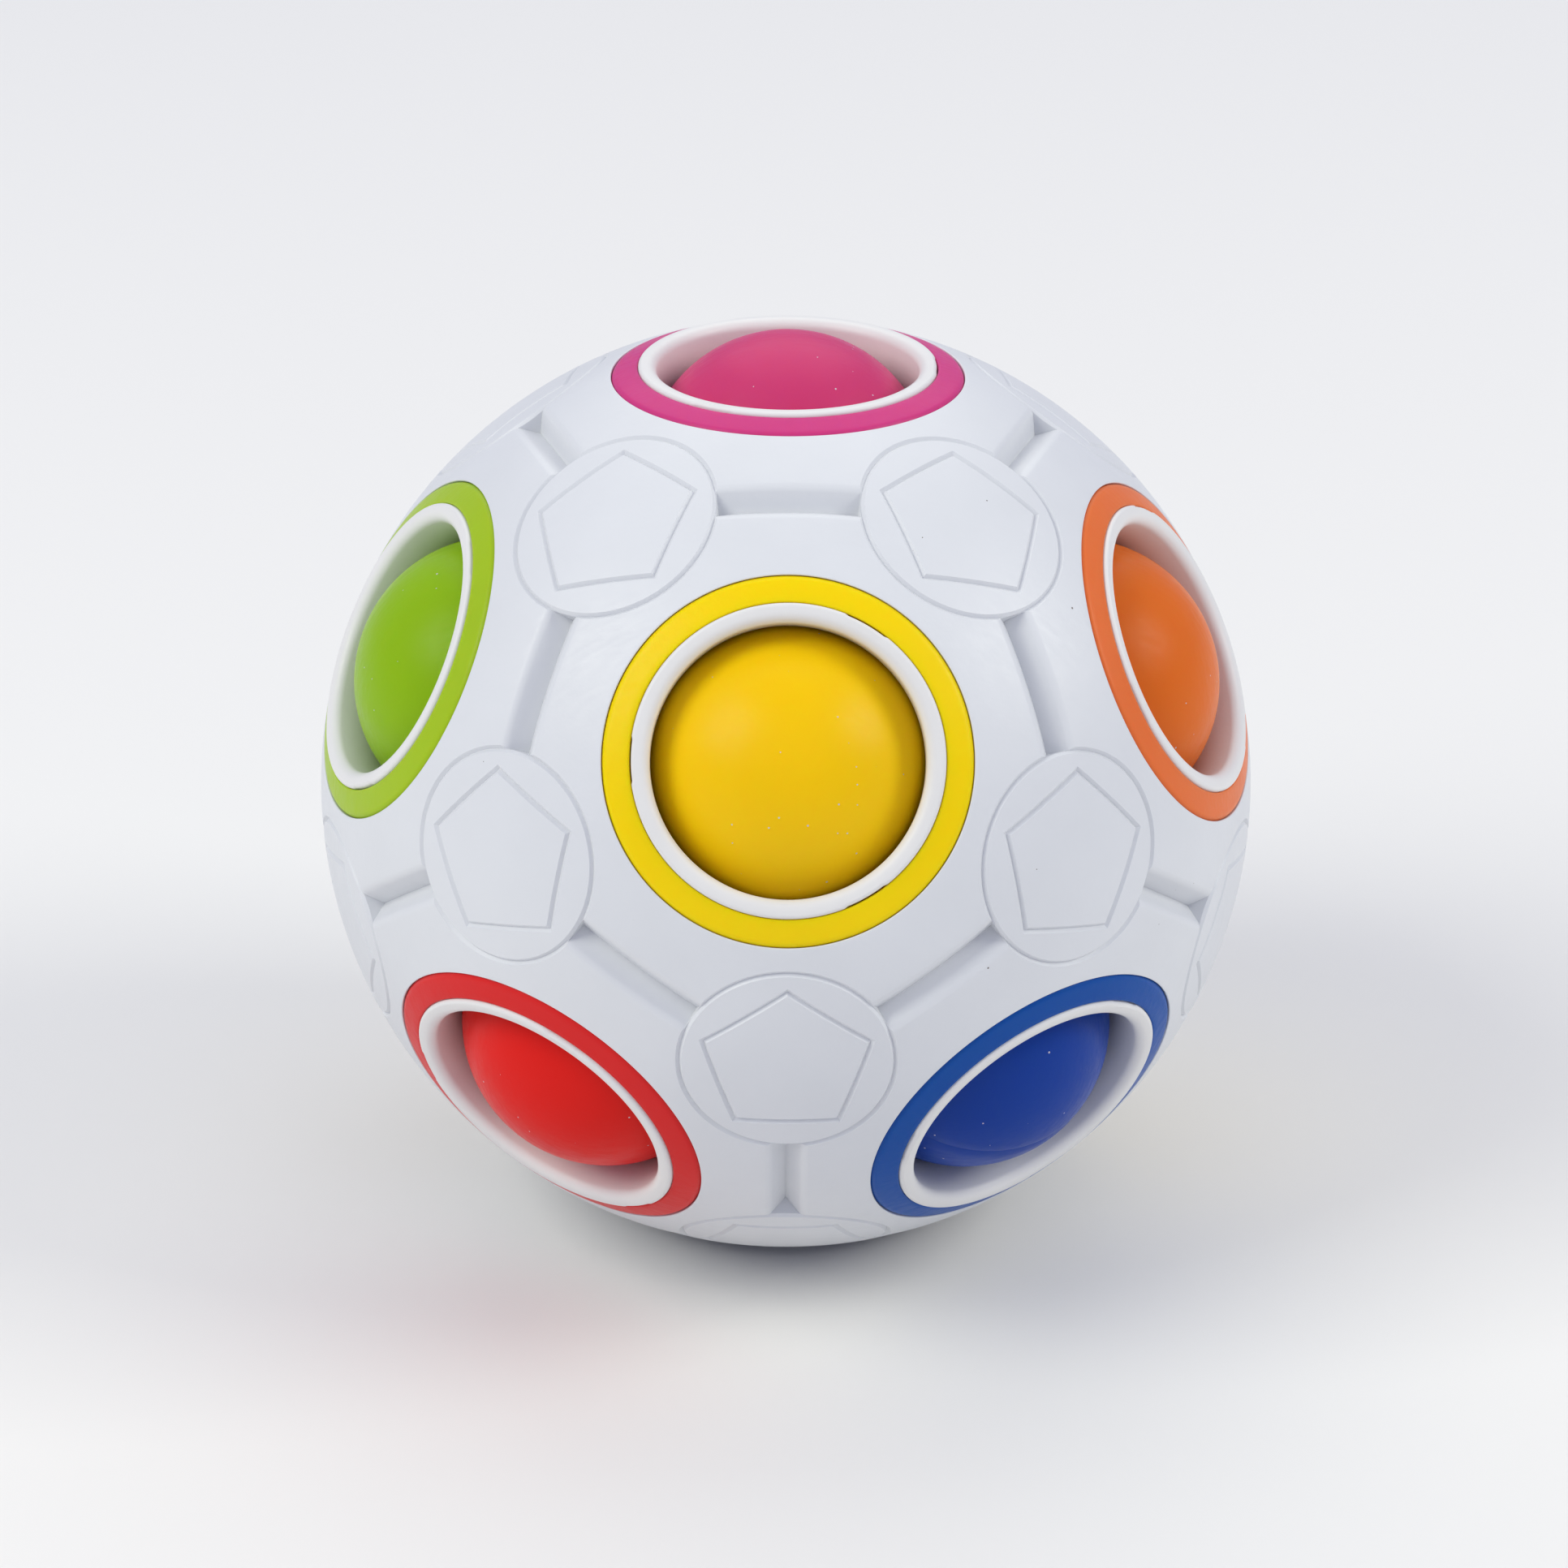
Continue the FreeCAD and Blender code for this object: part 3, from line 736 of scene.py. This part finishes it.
# ------------------------------------------------------------------ rings and bezels
class PUZZLE_OT_rings(bpy.types.Operator):
    """Spin one coloured ring and copy it into every hole"""
    bl_idname = "puzzle.rings"
    bl_label = "Coloured rings"

    def execute(self, context):
        shell = settings("shell")
        holes = settings("holes")
        inner = holes.flange + holes.gap
        bore = holes.barrel + holes.gap
        floor = ring_floor(shell, holes)
        step = bezel_floor(shell, holes) - holes.gap
        middle = (inner + holes.ring) / 2
        corners = [(bore, floor), (holes.ring, floor),
                   (holes.ring, leg(shell.radius, holes.ring)),
                   (middle, leg(shell.radius, middle)),
                   (inner, leg(shell.radius, inner)), (inner, step), (bore, step)]
        rounds = [(2, holes.ring_round, 6), (4, holes.ring_round / 2, 4),
                  (3, holes.ring_round, 3)]
        pattern = smoothed(spun(wire("ring", corners, rounds), HOLE_STEPS), 40)
        colours = settings("colours")
        for name, axis in HOLES.items():
            place = Matrix.Translation(SCENE_CENTRE) @ aim(axis)
            piece = copied(pattern, "ring", place)
            material = moulded(name + "_ring_abs", getattr(colours, name + "_ring"), 0.34,
                               specular=0.12, depth=GLOW_DEPTH)
            finished(piece, name + "_ring", material, "casing", ["ring_" + name])
        bpy.data.objects.remove(pattern)
        return {"FINISHED"}


def bezel_floor(shell, holes):
    """Height of the underside of the bezel's flange along a hole's axis."""
    return leg(shell.radius, holes.flange) - holes.lip_drop - holes.lip_height


BEZEL_STEPS = 240
NEAR = 0.05 * MM  # slack when vertices and faces are picked by their place
CLIP_ANGLE = 18.0
CLIP_REACH = 0.5 * MM
CLIP_BAND = 0.25 * MM  # height over which a clip has its full reach
CLIP_TAPER = 0.98  # share of the reach that is gone at a clip's lower end
CLIP_TURN = -30.0  # of the first clip, about a hole's axis, from the topmost point
NICK_ANGLE = 16.0
NICK_DEPTH = 0.08 * MM
EDGE_BAND = 0.20 * MM  # how far in from the flange's outer edge a nick takes hold


def off_clip(place):
    """Degrees about Z from a place to the middle of the nearest of three clips."""
    turn = math.degrees(math.atan2(place.y, place.x)) % 120.0
    return min(turn, 120.0 - turn)


class PUZZLE_OT_bezels(bpy.types.Operator):
    """Spin one white bezel with its clips and copy it into every hole"""
    bl_idname = "puzzle.bezels"
    bl_label = "White bezels"

    def execute(self, context):
        shell = settings("shell")
        holes = settings("holes")
        ball = settings("balls")
        top = leg(shell.radius, (holes.bore + holes.flange) / 2)
        seat = ball.height + holes.seat
        end = seat - holes.tail
        floor = bezel_floor(shell, holes)
        hook = leg(shell.radius - shell.wall, holes.barrel + CLIP_REACH) - holes.gap
        corners = [(holes.bore, seat), (holes.bore + holes.flare, end), (holes.barrel, end),
                   (holes.barrel, hook - CLIP_BAND), (holes.barrel, hook),
                   (holes.barrel, floor), (holes.flange, floor), (holes.flange, top),
                   (holes.bore, top)]
        rounds = [(7, holes.lip_edge, 5), (8, holes.lip_round, 8)]
        pattern = spun(wire("bezel", corners, rounds), BEZEL_STEPS)
        # Three clips stand out of the barrel, each under a nick in the flange's edge.
        only(pattern)
        bpy.ops.object.mode_set(mode="EDIT")
        bpy.ops.mesh.select_mode(type="FACE")
        bpy.ops.mesh.select_all(action="DESELECT")
        bpy.ops.object.mode_set(mode="OBJECT")
        for polygon in pattern.data.polygons:
            middle = polygon.center
            spread = math.hypot(middle.x, middle.y)
            on_barrel = abs(spread - holes.barrel) < NEAR and middle.z < hook
            polygon.select = on_barrel and off_clip(middle) < CLIP_ANGLE / 2
        bpy.ops.object.mode_set(mode="EDIT")
        bpy.ops.mesh.extrude_region_shrink_fatten(
            TRANSFORM_OT_shrink_fatten={"value": CLIP_REACH, "use_even_offset": True})
        bpy.ops.object.mode_set(mode="OBJECT")
        for vertex in pattern.data.vertices:
            spread = math.hypot(vertex.co.x, vertex.co.y)
            inset = 0.0
            if spread > holes.barrel + CLIP_REACH / 2 and vertex.co.z < end + NEAR:
                inset = CLIP_REACH * CLIP_TAPER
            elif spread > holes.flange - EDGE_BAND and off_clip(vertex.co) < NICK_ANGLE / 2:
                inset = NICK_DEPTH
            vertex.co.x *= (spread - inset) / spread
            vertex.co.y *= (spread - inset) / spread
        smoothed(pattern, 35)
        material = moulded("glossy_white_abs", settings("colours").bezel, 0.42,
                           specular=0.35)
        for name, axis in HOLES.items():
            turn = Matrix.Rotation(math.radians(CLIP_TURN), 4, "Z")
            place = Matrix.Translation(SCENE_CENTRE) @ aim(axis) @ turn
            piece = copied(pattern, "bezel", place)
            finished(piece, name + "_bezel", material, "casing", ["bezel_" + name])
        bpy.data.objects.remove(pattern)
        return {"FINISHED"}


# ------------------------------------------------------------------ loose balls and core
BALL_STEPS = 128


class PUZZLE_OT_balls(bpy.types.Operator):
    """Model half a hollow ball and put two copies of it together behind every filled hole"""
    bl_idname = "puzzle.balls"
    bl_label = "Loose balls"

    def execute(self, context):
        sizes = settings("balls")
        nothing_selected()
        bpy.ops.mesh.primitive_uv_sphere_add(segments=BALL_STEPS, ring_count=BALL_STEPS // 2,
                                             radius=sizes.radius)
        half = bpy.context.object
        bpy.ops.object.mode_set(mode="EDIT")
        bpy.ops.mesh.select_all(action="SELECT")
        bpy.ops.mesh.bisect(plane_co=(0, 0, 0), plane_no=(0, 0, 1), clear_inner=True)
        bpy.ops.object.mode_set(mode="OBJECT")
        shell = half.modifiers.new("wall", "SOLIDIFY")
        shell.thickness = sizes.wall
        shell.offset = -1.0
        bpy.ops.object.modifier_apply(modifier=shell.name)
        # Chamfer the rim, so that two halves meet in a fine weld line.
        for vertex in half.data.vertices:
            if abs(vertex.co.z) < 1e-6 and vertex.co.length > sizes.radius - sizes.weld:
                vertex.co *= (sizes.radius - sizes.weld) / vertex.co.length
        smoothed(half, 30)
        colours = settings("colours")
        for name, axis in HOLES.items():
            if name == EMPTY:
                continue
            material = moulded(name + "_ball_plastic", getattr(colours, name + "_ball"), 0.36,
                               specular=0.12, dust=DUST, share=DUST_SHARE, depth=GLOW_DEPTH)
            middle = Matrix.Translation(SCENE_CENTRE + axis * sizes.height)
            for side, sign in (("outer", 1), ("inner", -1)):
                piece = copied(half, "ball", middle @ aim(WELD_AXES[name] * sign))
                finished(piece, "%s_ball_%s" % (name, side), material, "ball_" + name,
                         ["ball_%s_%s" % (name, side)])
        bpy.data.objects.remove(half)
        return {"FINISHED"}


CORE_SHRINK = 0.05 * MM
DIMPLES = 900.0  # per metre
DIMPLE_DEPTH = 0.003  # as a share of the core's radius


class PUZZLE_OT_core(bpy.types.Operator):
    """Model the foam core, with the dimples of its open cells"""
    bl_idname = "puzzle.core"
    bl_label = "Foam core"

    def execute(self, context):
        core = sphere("core", CORE_RADIUS - CORE_SHRINK, INNER_BALL)
        for vertex in core.data.vertices:
            grain = noise.noise(vertex.co * DIMPLES)
            vertex.co *= 1.0 + DIMPLE_DEPTH * min(grain, 0.0)
        core.data.transform(Matrix.Translation(SCENE_CENTRE))
        smoothed(core, 60)
        material = foam_material(settings("colours").foam)
        finished(core, "foam_core", material, "casing", ["core_ball"])
        return {"FINISHED"}


# ------------------------------------------------------------------ stage
LAMP_WHITE = "#FFFFF0"
ROOM_WHITE = "#D4D9FF"  # the light in the shadows is a little lilac
ROOM_STRENGTH = 0.50
FLOOR_SIZE = 6.0
SENSOR_WIDTH = 36.0
# Name, the way to it from the ball's middle, distance and side in metres, and watts. The left
# and right ones make the two broad soft highlights on each ball.
SOFTBOXES = (
    ("left_softbox", (-0.67, -0.34, 0.655), 1.1, 0.6, 6.4),
    ("right_softbox", (0.80, -0.15, 0.58), 1.1, 0.5, 5.0),
    ("top_softbox", (0.0, 0.6, 0.8), 1.3, 1.2, 5.0),
    ("front_softbox", (0.0, -0.80, 0.60), 1.0, 0.9, 0.7),
)


def softbox(name, way, distance, side, watts):
    """A square soft light at a distance from the ball's middle, looking at it."""
    way = Vector(way).normalized()
    nothing_selected()
    bpy.ops.object.light_add(type="AREA", location=SCENE_CENTRE + way * distance)
    lamp = bpy.context.object
    lamp.name = name
    lamp.data.shape = "SQUARE"
    lamp.data.size = side
    lamp.data.energy = watts
    lamp.data.color = linear(LAMP_WHITE)[:3]
    lamp.rotation_euler = (-way).to_track_quat("-Z", "Y").to_euler()
    return lamp


class PUZZLE_OT_stage(bpy.types.Operator):
    """Set the floor, the soft studio light and the camera"""
    bl_idname = "puzzle.stage"
    bl_label = "Stage"

    def execute(self, context):
        stage = settings("stage")
        nothing_selected()
        bpy.ops.mesh.primitive_plane_add(size=FLOOR_SIZE, location=(0, 0, 0))
        floor = context.object
        floor.name = "floor"
        floor.data.materials.append(painted_floor(stage.floor))
        for lamp in SOFTBOXES:
            softbox(*lamp)
        world = bpy.data.worlds.new("studio")
        world.use_nodes = True
        background = world.node_tree.nodes["Background"]
        background.inputs["Color"].default_value = linear(ROOM_WHITE)
        background.inputs["Strength"].default_value = ROOM_STRENGTH
        context.scene.world = world
        context.scene.view_settings.view_transform = "Standard"
        bpy.ops.object.camera_add()
        camera = context.object
        camera.name = "camera"
        eye = direction(math.degrees(stage.azimuth), math.degrees(stage.elevation))
        sight = (-eye).to_track_quat("-Z", "Y").to_matrix().to_4x4()
        turned = sight @ Matrix.Rotation(stage.roll, 4, "Z")
        shift = turned @ Vector((stage.aside, stage.above, 0.0))
        camera.location = SCENE_CENTRE + eye * stage.distance + shift
        camera.rotation_euler = turned.to_euler()
        camera.data.lens = stage.lens
        camera.data.sensor_width = SENSOR_WIDTH
        camera.data.dof.use_dof = False
        context.scene.camera = camera
        return {"FINISHED"}


class PUZZLE_PT_panel(bpy.types.Panel):
    """Lists the settings and the operators"""
    bl_idname = "PUZZLE_PT_panel"
    bl_label = "Puzzle ball"
    bl_space_type = "VIEW_3D"
    bl_region_type = "UI"
    bl_category = "Puzzle ball"

    def draw(self, context):
        for operator in OPERATORS:
            self.layout.operator(operator.bl_idname)
        for name in SETTINGS:
            box = self.layout.box()
            box.label(text=name.capitalize())
            group = settings(name)
            for field in group.bl_rna.properties:
                if field.identifier not in ("rna_type", "name"):
                    box.prop(group, field.identifier)


OPERATORS = (PUZZLE_OT_shells, PUZZLE_OT_rings, PUZZLE_OT_bezels, PUZZLE_OT_balls,
             PUZZLE_OT_core, PUZZLE_OT_stage)


def register():
    for group in SETTINGS.values():
        bpy.utils.register_class(group)
    for operator in OPERATORS:
        bpy.utils.register_class(operator)
    bpy.utils.register_class(PUZZLE_PT_panel)
    for name, group in SETTINGS.items():
        setattr(bpy.types.Scene, "puzzle_" + name, PointerProperty(type=group))


def unregister():
    for name in SETTINGS:
        delattr(bpy.types.Scene, "puzzle_" + name)
    bpy.utils.unregister_class(PUZZLE_PT_panel)
    for operator in reversed(OPERATORS):
        bpy.utils.unregister_class(operator)
    for group in reversed(SETTINGS.values()):
        bpy.utils.unregister_class(group)


def main():
    """Build everything in order."""
    register()
    bpy.ops.puzzle.shells()
    bpy.ops.puzzle.rings()
    bpy.ops.puzzle.bezels()
    bpy.ops.puzzle.balls()
    bpy.ops.puzzle.core()
    bpy.ops.puzzle.stage()


if __name__ == "__main__":
    main()
